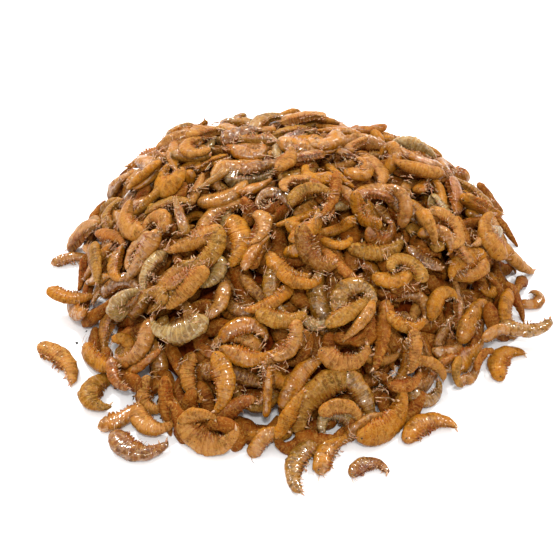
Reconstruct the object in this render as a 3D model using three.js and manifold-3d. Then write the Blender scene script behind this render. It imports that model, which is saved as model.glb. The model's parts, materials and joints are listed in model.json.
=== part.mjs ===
// A low heap of small freeze-dried shrimp on a bare surface, with a few strays beside it.
// Millimetres, +Z up. The origin lies on that surface, under the middle of the whole.
import * as THREE from 'three';
import { mergeVertices } from 'three/addons/utils/BufferGeometryUtils.js';
import Module from 'manifold-3d';

const wasm = await Module();
wasm.setup();

// The heap: an uneven dome, highest in the middle and steep at its foot.
const HEAP_RADIUS = 66.5;
const HEAP_HEIGHT = 35;
const DOME_POWER = 0.7;
const FOOT_LOBES = [[2, -0.002, 0.005], [3, 0.028, 0.023], [4, -0.003, -0.007], [5, 0.006, 0.002]];
const STEEPEST_SLOPE = 1.3;

// Swells and hollows of the dome: x, y, height at the middle, reach.
const SWELLS = [[-38, 33, 5, 17], [-10, 35, -6, 14], [51, 24, 6, 14]];

// The core under the shrimp that show, and the deeper one that the loose layers start from.
const CORE_DROP = 0.7;
const CORE_EDGE = 1;
const CORE_FARTHEST = 85;
const CORE_INSET = 2.5;
const CORE_LEAST = 1.2;
const CORE_AROUND = 40;
const CORE_RISE = 8;
const CORE_BUNCH = 1.25;
const MEAN_REACH = 3;
const BARE_DEPTH = 12;

// One shrimp, measured along its back, and how that size varies.
const LENGTH_LEAST = 11;
const LENGTH_MOST = 21;
const DEPTH_PER_LENGTH = 0.27;
const WIDTH_PER_DEPTH = 0.7;
const CURL_LEAST = 15;
const CURL_MOST = 280;
const CURL_POWER = 1.6;
const CURL_KINDS = 24;
const HEAD_TURN = 0.8;
const NOSE = 0.16;
const DEEPEST = 0.38;
const TAPER = 0.78;
const TAPER_POWER = 1.8;
const TAIL_ROUND = 0.07;
const STATIONS = 16;
const FINE_STATIONS = 60;

// How many lie in the heap, how many of them show enough to be solid, and their facets.
const UNDER_COUNT = 300;
const UPPER_COUNT = 250;
const SOLID_COUNT = 165;
const HEAP_SIDES = 4;
const HEAP_RINGS = 4;
const CURL_PER_RING = 100;
const SEAT_STEP = 0.4;
const BITE = 2;
const STRAY_SIDES = 8;
const STRAY_RINGS = 10;

// How the shrimp settle: each lies where it comes lowest out of a few tries.
const TRIES = 16;
const TOUCH_SHARE = 0.9;
const OPEN_ROOM = 0.8;
const EDGE_ROOM = 4;
const PITCH_MOST = 14;
const ROLL_FLAT = 28;
const ROLL_MOST = 95;
const FLAT_SHARE = 0.68;
const CELL = 1;
const MAP_REACH = 100;
const MAP_SIDE = 2 * MAP_REACH / CELL + 1;
const COVER_COST = 60;
const STRAY_ROOM = 10;
const SEED = 24117;

// Shrimp that lie apart: x, y, heading from head to tail, length, curl, side that the back faces.
const STRAYS = {
  stray_shrimp_left: [-62.5, -38.5, -52, 19.5, 80, 1],
  stray_shrimp_front_left: [-38.7, -67, -10, 18.5, 145, -1],
  stray_shrimp_front_right: [34, -60.7, 15, 18, 140, 1],
  stray_shrimp_front: [18.5, -73, 0, 13, 175, 1],
  stray_shrimp_right: [69, -14, 58, 12.5, 235, -1],
};

// Shrimp of the heap that stand out: x, y, heading, length, curl, side of the back, roll.
const SHOWN = [
  [-51, -50, -75, 18, 213, -1, 8], [-42.5, -56.5, 44, 17, 80, -1, 0],
  [-36, -60, -21, 16, 175, -1, 0], [-21, -66, 0, 20, 148, -1, 0],
  [-16, -60, 45, 17, 76, 1, 20], [-8, -64, -163, 16, 20, -1, 30],
  [-6.5, -66.5, 47, 13, 95, 1, 0], [-37, -53, -68, 15, 205, -1, 10],
  [-29, -57, -71, 14, 16, 1, 60], [1.5, -72.5, -102, 19, 110, -1, 0],
  [9.5, -68, 50, 17, 95, 1, 0], [6, -57, -118, 23, 105, -1, 10],
  [1.5, -54, 60, 17, 60, 1, 10], [-1, -63, 72, 14, 25, 1, 40],
  [17.5, -56, -61, 18, 50, 1, 10], [23.5, -60.5, 66, 21, 114, -1, 0],
  [-18, -55, -98, 17, 96, 1, 0], [-26, -51, -85, 15, 107, -1, 10],
  [-41, -45, 22, 19, 25, -1, 30], [-52, -40, -28, 19, 55, -1, 0],
  [-41, -41, -148, 18, 148, 1, 0], [-51, -29, -122, 18, 102, -1, 0],
  [-60.5, -21, -43, 20, 77, -1, 0], [-63, 8, -10, 20, 60, 1, 0],
  [-30, -41, 173, 19, 110, 1, 10], [-12.5, -43, -4, 16, 150, 1, 0],
  [-11.5, -49, -2, 16, 90, -1, 0], [-6, -37, -152, 15, 80, 1, 20],
  [-3, -42, 1, 14, 97, -1, 10], [-2, -29, -31, 15, 100, -1, 0],
  [1.5, -33, -7, 13, 110, -1, 0], [5, -40, 144, 11, 184, 1, 0],
  [13.5, -28, -42, 17, 20, -1, 20], [15.5, -35, 14, 19, 223, 1, 0],
  [13.5, -49, 16, 17, 152, -1, 0], [23, -42, -92, 20, 20, 1, 40],
  [-15, -18, -92, 19, 108, 1, 0], [-20, -7, 28, 20, 125, 1, 0],
  [-31, -25, 18, 16, 135, 1, 0], [-20, -35, -128, 14, 120, 1, 10],
  [29.5, -39, 3, 14, 138, -1, 0], [40, -28, 40, 16, 165, 1, 20],
  [42, -37, 38, 13, 150, -1, 20], [45.5, -38.5, 34, 20, 75, -1, 0],
  [32.5, -47, 24, 15, 144, -1, 0], [49, -28, 60, 18, 69, 1, 10],
  [59.5, -24, -56, 18, 160, -1, 0], [64, -29.5, 8, 17, 111, -1, 0],
  [57, -38, 45, 17, 160, 1, 0], [65, -4.5, 4, 21, 30, -1, 20],
  [34.5, -51, 22, 15, 190, -1, 10], [23, -20, 23, 19, 101, -1, 0],
  [12, -20, 17, 12, 190, -1, 20], [25, 3, 19, 20, 51, 1, 10],
  [13, 5.5, -55, 13, 33, -1, 40], [24, 14, -77, 19, 88, 1, 0],
  [32, -1, 169, 14, 79, -1, 10], [1, -13, -154, 13, 52, 1, 40],
  [-19, -1, 28, 18, 130, -1, 0], [-10.5, -1, 27, 13, 120, -1, 20],
  [-16, 13, -6, 18, 150, -1, 20], [-47, 28, 10, 18, 60, 1, 70],
  [-38, 38, 0, 20, 40, 1, 80], [-56, 20, -15, 17, 100, 1, 70],
  [10, 28, 10, 15, 30, 1, 60], [22, 30, 5, 17, 60, 1, 85],
  [36, 30, -20, 18, 40, 1, 60], [55.5, 27, -25, 20, 30, 1, 60],
  [60, 15, -20, 20, 30, 1, 40], [-61, 14, -30, 17, 70, 1, 20],
];

const CUTICLE = 0xa8713c;
const MIDDLE_SHIFT = [-1.26, 7.07];

const radians = Math.PI / 180;
let state = SEED;

function random() {
  state = (Math.imul(state, 1664525) + 1013904223) >>> 0;
  return state / 4294967296;
}

function footRadius(angle) {
  let share = 1;
  for (const [turns, cosine, sine] of FOOT_LOBES) {
    share += cosine * Math.cos(turns * angle) + sine * Math.sin(turns * angle);
  }
  return HEAP_RADIUS * share;
}

// Height of the dome over a point, for the heap's surface or one that lies deeper.
function domeHeight(x, y, deeper = 0) {
  const place = Math.hypot(x, y) / (footRadius(Math.atan2(y, x)) - deeper);
  if (place >= 1) return 0;
  let height = (HEAP_HEIGHT - deeper) * Math.pow(1 - place * place, DOME_POWER);
  for (const [middleX, middleY, swell, reach] of SWELLS) {
    const away = Math.hypot(x - middleX, y - middleY) / reach;
    height += swell * (1 - place * place) / (1 + away * away * away * away);
  }
  return Math.max(0, height);
}

function slopeNormal(x, y) {
  const run = domeHeight(x + 1, y) - domeHeight(x - 1, y);
  const rise = domeHeight(x, y + 1) - domeHeight(x, y - 1);
  const slope = Math.hypot(run, rise) / 2;
  const eased = slope > STEEPEST_SLOPE ? STEEPEST_SLOPE / slope : 1;
  return new THREE.Vector3(-run / 2 * eased, -rise / 2 * eased, 1).normalize();
}

// Half the depth of the body from its head at 0 to its tail at 1, as a share of the deepest.
function bodyShape(along) {
  const ahead = Math.max(0, 1 - along / NOSE);
  const behind = Math.max(0, (along - DEEPEST) / (1 - DEEPEST));
  const end = Math.min(1, Math.max(0, 1 - (1 - along) / TAIL_ROUND));
  const taper = 1 - TAPER * Math.pow(behind, TAPER_POWER);
  return Math.sqrt(1 - ahead * ahead) * taper * Math.sqrt(1 - end * end);
}

// Points and back directions along the curled body, in its own plane, about their middle.
function bodyLine(length, curl, count) {
  const line = [];
  const step = length / count;
  let x = 0;
  let y = 0;
  for (let index = 0; index <= count; index += 1) {
    const along = index / count;
    const turn = curl * (0.5 - HEAD_TURN * along - (1 - HEAD_TURN) * along * along);
    line.push({ x, y, backX: -Math.sin(turn), backY: Math.cos(turn) });
    const half = along + 0.5 / count;
    const next = curl * (0.5 - HEAD_TURN * half - (1 - HEAD_TURN) * half * half);
    x += step * Math.cos(next);
    y += step * Math.sin(next);
  }
  const middleX = line.reduce((sum, point) => sum + point.x, 0) / line.length;
  const middleY = line.reduce((sum, point) => sum + point.y, 0) / line.length;
  return line.map((point) => ({ ...point, x: point.x - middleX, y: point.y - middleY }));
}

function kindCurl(kind) {
  const share = (kind + 0.5) / CURL_KINDS;
  return (CURL_LEAST + (CURL_MOST - CURL_LEAST) * Math.pow(share, CURL_POWER)) * radians;
}

// A shrimp laid on the slope: its axes run along the body, out through its back, and sideways.
function layShrimp(x, y, heading, length, curl, side, roll, pitch) {
  const normal = slopeNormal(x, y);
  const along = new THREE.Vector3(Math.cos(heading), Math.sin(heading), 0);
  along.addScaledVector(normal, -along.dot(normal)).normalize();
  const level = new THREE.Vector3().crossVectors(normal, along);
  const tipped = along.clone().multiplyScalar(Math.cos(pitch)).addScaledVector(normal, Math.sin(pitch));
  const upright = new THREE.Vector3().crossVectors(tipped, level);
  const back = level.clone().multiplyScalar(side * Math.cos(roll)).addScaledVector(upright, Math.sin(roll));
  const flank = new THREE.Vector3().crossVectors(tipped, back);
  const halfDepth = length * DEPTH_PER_LENGTH / 2;
  const halfWidth = halfDepth * WIDTH_PER_DEPTH;
  const middle = new THREE.Vector3(x, y, 0);
  return { length, curl, halfDepth, halfWidth, along: tipped, back, flank, middle };
}

// Points all over a shrimp's body, by which it settles on what lies below.
function bodyPoints(shrimp) {
  const points = [];
  const line = bodyLine(shrimp.length, shrimp.curl, STATIONS);
  line.forEach((point, index) => {
    const share = bodyShape(index / STATIONS);
    for (const rise of [-0.8, -0.4, 0, 0.4, 0.8]) {
      const across = rise * share * shrimp.halfDepth;
      const thick = share * shrimp.halfWidth * Math.sqrt(1 - rise * rise);
      for (const flank of [-thick, 0, thick]) {
        points.push(shrimp.middle.clone()
          .addScaledVector(shrimp.along, point.x + point.backX * across)
          .addScaledVector(shrimp.back, point.y + point.backY * across)
          .addScaledVector(shrimp.flank, flank));
      }
    }
  });
  return points;
}

const ground = new Float64Array(MAP_SIDE * MAP_SIDE);
const kept = new Float64Array(MAP_SIDE * MAP_SIDE);
for (let row = 0; row < MAP_SIDE; row += 1) {
  for (let column = 0; column < MAP_SIDE; column += 1) {
    const height = domeHeight(column * CELL - MAP_REACH, row * CELL - MAP_REACH, BARE_DEPTH);
    ground[row * MAP_SIDE + column] = height;
  }
}

function cellOf(point) {
  const column = Math.floor((point.x + MAP_REACH) / CELL + 0.5);
  const row = Math.floor((point.y + MAP_REACH) / CELL + 0.5);
  return row * MAP_SIDE + column;
}

// Lets a shrimp down until it touches, and says how well it lies there.
function letDown(shrimp) {
  const points = bodyPoints(shrimp);
  const needs = points.map((point) => ground[cellOf(point)] - point.z).sort((one, other) => one - other);
  const lift = needs[Math.floor(needs.length * TOUCH_SHARE)];
  const floor = -Math.min(...points.map((point) => point.z));
  shrimp.middle.z = Math.max(lift, floor);
  let stand = 0;
  let cover = 0;
  for (const point of points) {
    point.z += shrimp.middle.z;
    stand += point.z - domeHeight(point.x, point.y);
    cover += kept[cellOf(point)];
  }
  const level = slopeNormal(shrimp.middle.x, shrimp.middle.y).z;
  return { shrimp, points, score: (stand * level + cover * COVER_COST) / points.length };
}

function settle(lying, keep) {
  for (const point of lying.points) {
    const cell = cellOf(point);
    ground[cell] = Math.max(ground[cell], point.z);
    if (keep) kept[cell] = Math.max(kept[cell], keep);
  }
  return lying;
}

function scatter() {
  const length = LENGTH_LEAST + (LENGTH_MOST - LENGTH_LEAST) * (random() + random()) / 2;
  const curl = kindCurl(Math.floor(random() * CURL_KINDS));
  let best = null;
  for (let attempt = 0; attempt < TRIES; attempt += 1) {
    const bearing = 2 * Math.PI * random();
    const distance = (footRadius(bearing) - EDGE_ROOM) * Math.sqrt(random());
    const heading = 2 * Math.PI * random();
    const side = random() < 0.5 ? 1 : -1;
    const flat = random() < FLAT_SHARE ? ROLL_FLAT : ROLL_MOST;
    const roll = (2 * random() - 1) * flat * radians;
    const pitch = (2 * random() - 1) * PITCH_MOST * radians;
    const x = distance * Math.cos(bearing);
    const y = distance * Math.sin(bearing);
    const lying = letDown(layShrimp(x, y, heading, length, curl, side, roll, pitch));
    if (best === null || lying.score < best.score) best = lying;
  }
  return settle(best, 0);
}

// Share of a shrimp's points that nothing else has covered.
function shownShare(lying) {
  const open = lying.points.filter((point) => point.z > ground[cellOf(point)] - OPEN_ROOM);
  return open.length / lying.points.length;
}

// A closed body of few facets: a sphere drawn out along the curled line of the shrimp.
function shrimpGeometry(shrimp, sides, rings) {
  const geometry = new THREE.SphereGeometry(1, sides, rings);
  const place = geometry.attributes.position;
  const line = bodyLine(shrimp.length, shrimp.curl, FINE_STATIONS);
  for (let index = 0; index < place.count; index += 1) {
    const along = (1 - place.getY(index)) / 2;
    const spread = Math.hypot(place.getX(index), place.getZ(index));
    const share = spread > 0.001 ? bodyShape(along) / spread : 0;
    const across = place.getX(index) * share * shrimp.halfDepth;
    const flank = place.getZ(index) * share * shrimp.halfWidth;
    const point = line[Math.round(along * FINE_STATIONS)];
    const spot = shrimp.middle.clone()
      .addScaledVector(shrimp.along, point.x + point.backX * across)
      .addScaledVector(shrimp.back, point.y + point.backY * across)
      .addScaledVector(shrimp.flank, flank);
    place.setXYZ(index, spot.x, spot.y, spot.z);
  }
  return welded(geometry);
}

function welded(geometry) {
  geometry.deleteAttribute('normal');
  geometry.deleteAttribute('uv');
  return mergeVertices(geometry, 0.001);
}

function cellsAbout(x, y, reach) {
  const cells = [];
  for (let row = -reach; row <= reach; row += 1) {
    for (let column = -reach; column <= reach; column += 1) {
      cells.push(cellOf({ x: x + column * CELL, y: y + row * CELL }));
    }
  }
  return cells;
}

// Mean height of what lies about a point, in a square of cells.
function meanHeight(x, y) {
  const cells = cellsAbout(x, y, MEAN_REACH);
  return cells.reduce((sum, cell) => sum + ground[cell], 0) / cells.length;
}

// How far out the core goes in a direction: to the inner side of the shrimp that lie outermost.
function coreReach(angle) {
  let reach = CORE_FARTHEST;
  while (meanHeight(reach * Math.cos(angle), reach * Math.sin(angle)) < CORE_EDGE) reach -= 0.5;
  return reach - CORE_INSET;
}

// The core: a flat base under a surface that runs just below the tops of the shrimp.
function coreGeometry() {
  const profile = [new THREE.Vector2(0, 0), new THREE.Vector2(1, 0)];
  for (let step = 1; step <= CORE_RISE; step += 1) {
    const share = step / CORE_RISE;
    profile.push(new THREE.Vector2(1 - Math.pow(share, CORE_BUNCH), share));
  }
  const geometry = new THREE.LatheGeometry(profile, CORE_AROUND);
  geometry.rotateX(Math.PI / 2);
  const place = geometry.attributes.position;
  for (let index = 0; index < place.count; index += 1) {
    const reach = coreReach(Math.atan2(place.getY(index), place.getX(index)));
    const x = place.getX(index) * reach;
    const y = place.getY(index) * reach;
    const height = Math.max(CORE_LEAST, meanHeight(x, y) - CORE_DROP);
    place.setXYZ(index, x, y, place.getZ(index) > 0.01 ? height : 0);
  }
  return welded(geometry);
}

function toSolid(geometry) {
  const vertProperties = new Float32Array(geometry.attributes.position.array);
  const triVerts = new Uint32Array(geometry.index.array);
  return new wasm.Manifold(new wasm.Mesh({ numProp: 3, vertProperties, triVerts }));
}

function toGeometry(solid) {
  const { vertProperties, triVerts } = solid.getMesh();
  const geometry = new THREE.BufferGeometry();
  geometry.setAttribute('position', new THREE.BufferAttribute(new Float32Array(vertProperties), 3));
  geometry.setIndex(new THREE.BufferAttribute(new Uint32Array(triVerts), 1));
  return geometry;
}

// The strays keep a clear space about them, and the heap settles without them.
const strays = Object.entries(STRAYS).map(([name, [x, y, heading, length, curl, side]]) => {
  const shrimp = layShrimp(x, y, heading * radians, length, curl * radians, side, 0, 0);
  const lying = letDown(shrimp);
  for (const point of lying.points) {
    for (const cell of cellsAbout(point.x, point.y, 1)) kept[cell] = STRAY_ROOM;
  }
  return { name, shrimp };
});

const heap = [];
for (let index = 0; index < UNDER_COUNT; index += 1) heap.push(scatter());
const shown = SHOWN.map(([x, y, heading, length, curl, side, roll]) => {
  const shrimp = layShrimp(x, y, heading * radians, length, curl * radians, side, roll * radians, 0);
  return settle(letDown(shrimp), 1);
});
for (let index = 0; index < UPPER_COUNT; index += 1) heap.push(scatter());

// The body of a shrimp of the heap, let down in small steps until it bites into the core.
function seatedBody(core, shrimp) {
  const rings = HEAP_RINGS + Math.min(2, Math.floor(shrimp.curl / radians / CURL_PER_RING));
  let body = toSolid(shrimpGeometry(shrimp, HEAP_SIDES, rings));
  while (core.intersect(body).volume() < BITE && shrimp.middle.z > shrimp.halfDepth) {
    shrimp.middle.z -= SEAT_STEP;
    body = toSolid(shrimpGeometry(shrimp, HEAP_SIDES, rings));
  }
  return body;
}

// The core and the shrimp that show become one solid; what they seal in is filled.
const open = heap.sort((one, other) => shownShare(other) - shownShare(one));
const core = toSolid(coreGeometry());
let joined = core;
for (const lying of [...shown, ...open].slice(0, SOLID_COUNT)) {
  joined = joined.add(seatedBody(core, lying.shrimp));
}
const above = new THREE.BoxGeometry(2 * MAP_REACH, 2 * MAP_REACH, MAP_REACH);
above.translate(0, 0, MAP_REACH / 2);
joined = joined.intersect(toSolid(welded(above)));
const bodies = joined.decompose().sort((one, other) => other.volume() - one.volume());

function cuticle(colour) {
  return new THREE.MeshStandardMaterial({ color: colour, roughness: 0.45, metalness: 0 });
}

const group = new THREE.Group();
group.position.set(MIDDLE_SHIFT[0], MIDDLE_SHIFT[1], 0);
const heapMesh = new THREE.Mesh(toGeometry(bodies[0]), cuticle(CUTICLE));
heapMesh.name = 'shrimp_heap';
group.add(heapMesh);
for (const stray of strays) {
  const mesh = new THREE.Mesh(shrimpGeometry(stray.shrimp, STRAY_SIDES, STRAY_RINGS), cuticle(CUTICLE));
  mesh.name = stray.name;
  group.add(mesh);
}

export default group;
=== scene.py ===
"""The looks of a heap of freeze-dried shrimp on a bare surface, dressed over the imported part.

The shrimp settle by the same rule, sizes and seed as the part's source, so each one lies where its
solid lies. Lengths in the layout are millimetres in the heap's own frame, and metres in Blender.
"""
import json
import math

import bpy
import numpy as np
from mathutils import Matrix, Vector, noise

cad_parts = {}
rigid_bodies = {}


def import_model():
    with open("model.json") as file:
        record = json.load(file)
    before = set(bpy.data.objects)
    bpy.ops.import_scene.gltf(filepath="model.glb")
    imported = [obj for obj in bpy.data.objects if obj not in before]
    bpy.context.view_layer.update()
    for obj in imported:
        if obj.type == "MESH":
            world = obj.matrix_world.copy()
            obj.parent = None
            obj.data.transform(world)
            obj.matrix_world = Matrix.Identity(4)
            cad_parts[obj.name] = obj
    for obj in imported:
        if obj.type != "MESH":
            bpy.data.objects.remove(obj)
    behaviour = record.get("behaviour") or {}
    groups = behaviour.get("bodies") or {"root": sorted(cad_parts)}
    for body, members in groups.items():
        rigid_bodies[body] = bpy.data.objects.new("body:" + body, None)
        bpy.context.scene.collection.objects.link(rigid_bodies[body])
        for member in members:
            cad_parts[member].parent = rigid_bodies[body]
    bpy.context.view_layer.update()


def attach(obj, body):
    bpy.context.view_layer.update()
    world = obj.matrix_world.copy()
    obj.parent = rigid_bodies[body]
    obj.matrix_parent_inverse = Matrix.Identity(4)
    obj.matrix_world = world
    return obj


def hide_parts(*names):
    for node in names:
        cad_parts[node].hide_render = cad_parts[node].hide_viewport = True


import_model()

MM = 0.001

# The heap, as in the part's source: a dome on a foot that departs from a circle by lobes, given as
# turns, cosine and sine.
HEAP_RADIUS = 66.5
HEAP_HEIGHT = 35
DOME_POWER = 0.7
FOOT_LOBES = [[2, -0.002, 0.005], [3, 0.028, 0.023], [4, -0.003, -0.007], [5, 0.006, 0.002]]
STEEPEST_SLOPE = 1.3
# Swells of the dome, as x, y, height and reach, and how far under it the bare core lies.
SWELLS = [[-38, 33, 5, 17], [-10, 35, -6, 14], [51, 24, 6, 14]]
BARE_DEPTH = 12

# A shrimp's size and curl, and the outline of its body from nose to tail as shares of its length.
LENGTH_LEAST = 11
LENGTH_MOST = 21
DEPTH_PER_LENGTH = 0.27
WIDTH_PER_DEPTH = 0.7
CURL_LEAST = 15
CURL_MOST = 280
CURL_POWER = 1.6
CURL_KINDS = 24
HEAD_TURN = 0.8
NOSE = 0.16
DEEPEST = 0.38
TAPER = 0.78
TAPER_POWER = 1.8
TAIL_ROUND = 0.07
STATIONS = 16
FINE_STATIONS = 60

# How many settle under the shown ones and over them, how each chooses its place, and how it lies.
UNDER_COUNT = 300
UPPER_COUNT = 250
FILL_COUNT = 600
FILL_HIGHEST = 0.5
TRIES = 16
TOUCH_SHARE = 0.9
OPEN_ROOM = 0.8
EDGE_ROOM = 4
PITCH_MOST = 14
ROLL_FLAT = 28
ROLL_MOST = 95
FLAT_SHARE = 0.68
MAP_REACH = 100
MAP_SIDE = 2 * MAP_REACH + 1
COVER_COST = 60
STRAY_ROOM = 10
SEED = 24117
MIDDLE_SHIFT = [-1.26, 7.07]

# Shrimp that lie apart: x, y, heading, length, curl, side of the back, kind and material slot.
STRAYS = {
    "stray_shrimp_left": [-62.5, -38.5, -52, 19.5, 80, 1, "tan", "amber_shrimp"],
    "stray_shrimp_front_left": [-38.7, -67, -10, 18.5, 145, -1, "brown", "tan_shrimp"],
    "stray_shrimp_front_right": [34, -60.7, 15, 18, 140, 1, "amber", "amber_shrimp"],
    "stray_shrimp_front": [18.5, -73, 0, 13, 175, 1, "brown", "tan_shrimp"],
    "stray_shrimp_right": [69, -14, 58, 12.5, 235, -1, "amber", "amber_shrimp"],
}

# Shrimp of the heap that stand out: x, y, heading, length, curl, side of the back, roll, kind.
SHOWN = [
    [-51, -50, -75, 18, 213, -1, 8, "olive"], [-42.5, -56.5, 44, 17, 80, -1, 0, "amber"],
    [-36, -60, -21, 16, 175, -1, 0, "tan"], [-21, -66, 0, 20, 148, -1, 0, "tan"],
    [-16, -60, 45, 17, 76, 1, 20, "russet"], [-8, -64, -163, 16, 20, -1, 30, "amber"],
    [-6.5, -66.5, 47, 13, 95, 1, 0, "tan"], [-37, -53, -68, 15, 205, -1, 10, "tan"],
    [-29, -57, -71, 14, 16, 1, 60, "tan"], [1.5, -72.5, -102, 19, 110, -1, 0, "olive"],
    [9.5, -68, 50, 17, 95, 1, 0, "amber"], [6, -57, -118, 23, 105, -1, 10, "olive"],
    [1.5, -54, 60, 17, 60, 1, 10, "amber"], [-1, -63, 72, 14, 25, 1, 40, "amber"],
    [17.5, -56, -61, 18, 50, 1, 10, "olive"], [23.5, -60.5, 66, 21, 114, -1, 0, "amber"],
    [-18, -55, -98, 17, 96, 1, 0, "amber"], [-26, -51, -85, 15, 107, -1, 10, "tan"],
    [-41, -45, 22, 19, 25, -1, 30, "russet"], [-52, -40, -28, 19, 55, -1, 0, "amber"],
    [-41, -41, -148, 18, 148, 1, 0, "tan"], [-51, -29, -122, 18, 102, -1, 0, "tan"],
    [-60.5, -21, -43, 20, 77, -1, 0, "amber"], [-63, 8, -10, 20, 60, 1, 0, "tan"],
    [-30, -41, 173, 19, 110, 1, 10, "husk"], [-12.5, -43, -4, 16, 150, 1, 0, "amber"],
    [-11.5, -49, -2, 16, 90, -1, 0, "amber"], [-6, -37, -152, 15, 80, 1, 20, "amber"],
    [-3, -42, 1, 14, 97, -1, 10, "olive"], [-2, -29, -31, 15, 100, -1, 0, "amber"],
    [1.5, -33, -7, 13, 110, -1, 0, "amber"], [5, -40, 144, 11, 184, 1, 0, "husk"],
    [13.5, -28, -42, 17, 20, -1, 20, "russet"], [15.5, -35, 14, 19, 223, 1, 0, "olive"],
    [13.5, -49, 16, 17, 152, -1, 0, "tan"], [23, -42, -92, 20, 20, 1, 40, "russet"],
    [-15, -18, -92, 19, 108, 1, 0, "amber"], [-20, -7, 28, 20, 125, 1, 0, "tan"],
    [-31, -25, 18, 16, 135, 1, 0, "tan"], [-20, -35, -128, 14, 120, 1, 10, "tan"],
    [29.5, -39, 3, 14, 138, -1, 0, "amber"], [40, -28, 40, 16, 165, 1, 20, "amber"],
    [42, -37, 38, 13, 150, -1, 20, "tan"], [45.5, -38.5, 34, 20, 75, -1, 0, "amber"],
    [32.5, -47, 24, 15, 144, -1, 0, "tan"], [49, -28, 60, 18, 69, 1, 10, "amber"],
    [59.5, -24, -56, 18, 160, -1, 0, "amber"], [64, -29.5, 8, 17, 111, -1, 0, "olive"],
    [57, -38, 45, 17, 160, 1, 0, "amber"], [65, -4.5, 4, 21, 30, -1, 20, "tan"],
    [34.5, -51, 22, 15, 190, -1, 10, "olive"], [23, -20, 23, 19, 101, -1, 0, "olive"],
    [12, -20, 17, 12, 190, -1, 20, "amber"], [25, 3, 19, 20, 51, 1, 10, "tan"],
    [13, 5.5, -55, 13, 33, -1, 40, "amber"], [24, 14, -77, 19, 88, 1, 0, "tan"],
    [32, -1, 169, 14, 79, -1, 10, "tan"], [1, -13, -154, 13, 52, 1, 40, "amber"],
    [-19, -1, 28, 18, 130, -1, 0, "tan"], [-10.5, -1, 27, 13, 120, -1, 20, "amber"],
    [-16, 13, -6, 18, 150, -1, 20, "amber"], [-47, 28, 10, 18, 60, 1, 70, "tan"],
    [-38, 38, 0, 20, 40, 1, 80, "tan"], [-56, 20, -15, 17, 100, 1, 70, "olive"],
    [10, 28, 10, 15, 30, 1, 60, "amber"], [22, 30, 5, 17, 60, 1, 85, "tan"],
    [36, 30, -20, 18, 40, 1, 60, "tan"], [55.5, 27, -25, 20, 30, 1, 60, "amber"],
    [60, 15, -20, 20, 30, 1, 40, "tan"], [-61, 14, -30, 17, 70, 1, 20, "olive"],
]

# Small ones about the foot of the heap, as rows of the same form.
FOOT_BITS = [
    [-66, 3.5, 4, 14, 60, 1, 20, "tan"], [-63, -18, -10, 15, 90, -1, 0, "amber"],
    [40, -44, 20, 12, 120, 1, 30, "russet"], [47, -43, 70, 11, 150, -1, 20, "tan"],
    [36, -47, -30, 12, 90, 1, 40, "tan"], [51, -39, 40, 11, 130, 1, 10, "russet"],
    [43, -46, -60, 11, 170, -1, 20, "olive"], [55, -33, 10, 12, 100, 1, 30, "tan"],
    [29, -52, 30, 12, 110, -1, 20, "russet"], [31, -46, -80, 12, 60, 1, 40, "tan"],
    [18, -62, 40, 12, 90, 1, 20, "tan"], [-24, -63, 10, 12, 120, 1, 30, "tan"],
    [-46, -48, -70, 12, 90, -1, 20, "russet"], [12, -61, -20, 13, 140, 1, 10, "tan"],
]

# Kinds of the other shrimp, with the share of each.
KIND_SHARES = {"amber": 0.3, "tan": 0.32, "olive": 0.16, "brown": 0.09, "russet": 0.06, "husk": 0.07}

# A deeper layer of shorter shrimp lies where less than this covers the core, in from the heap's foot.
DEEP_MOST = 700
DEEP_LENGTH_SHARE = 0.8
DEEP_COVER = 0.3
DEEP_EDGE = 1

# Loose legs lie in the hollows out to this share of the heap's area, and crumbs about its foot. The
# lengths are those of the shrimp that they would belong to.
LOOSE_LEGS = 320
LEG_LENGTHS = [9, 15]
LEG_TRIES = 3
LEG_SPREAD = 3
LEG_AREA = 0.85
CRUMBS = 26
CRUMB_LENGTHS = [6, 17]
CRUMB_SPREAD = 2.5
CRUMB_INSET = 2
SMALL_CURL = 0.4

# Shrimp that show at least these shares of themselves are made whole, or down to the last leg.
OUTER_FROM = 0.1
FINE_FROM = 0.28
# How stout the scattered ones and the placed ones are, and how far any of them bows sideways.
PLUMP_SCATTERED = [0.9, 1.14]
PLUMP_PLACED = [0.95, 1.08]
LEAN = [-0.12, 0.12]
# Some russet ones are shrunk, and all of those that are nearly straight.
SHRUNK_SHARE = 0.4
STRAIGHT_CURL = 0.5
# Nothing comes lower than this above the surface.
GROUND_GAP = 0.05

# Segments, legs, feelers and eyes of a shrimp of this length, in millimetres.
MODEL_LENGTH = 17
SEGMENTS = 13
SEGMENT_FROM = 0.085
SEGMENT_TO = 0.955
LEG_WIDE = 0.6
LEG_FLAT = 0.45
LEGS_FROM = 0.14
LEGS_SPAN = 0.5
LEGS_FORWARD_TO = 0.36
LEG_MISSING = 0.35
FLAPS_FROM = 0.7
FLAP_STEP = 0.08
FAN_FROM = 0.95
# Flaps and the tail fan are blades this thick, with so many sides, flattened to this share.
BLADE = [0.8, 4, 0.4]
FEELER_THICK = 0.2
EYE_RADIUS = 0.24
EYE_AT = 0.045
# Bundles of loose legs and crumbs come in so many forms each.
SMALL_FORMS = 3
BUNDLE_RODS = 6
BUNDLE_THICK = 0.4
BUNDLE_SEED = SEED + 50
CRUMB_SEED = SEED + 60


# The photograph's viewpoint, 40 degrees above the surface.

PHOTO_SIDE = 560
FOCAL_PIXELS = 1036.765
CAMERA_AWAY = 300
CAMERA_ABOVE = math.radians(40)
LOOK_AT = [MIDDLE_SHIFT[0], MIDDLE_SHIFT[1], 15]
PHOTO_OFFSET = [13.35, 48.3]

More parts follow.
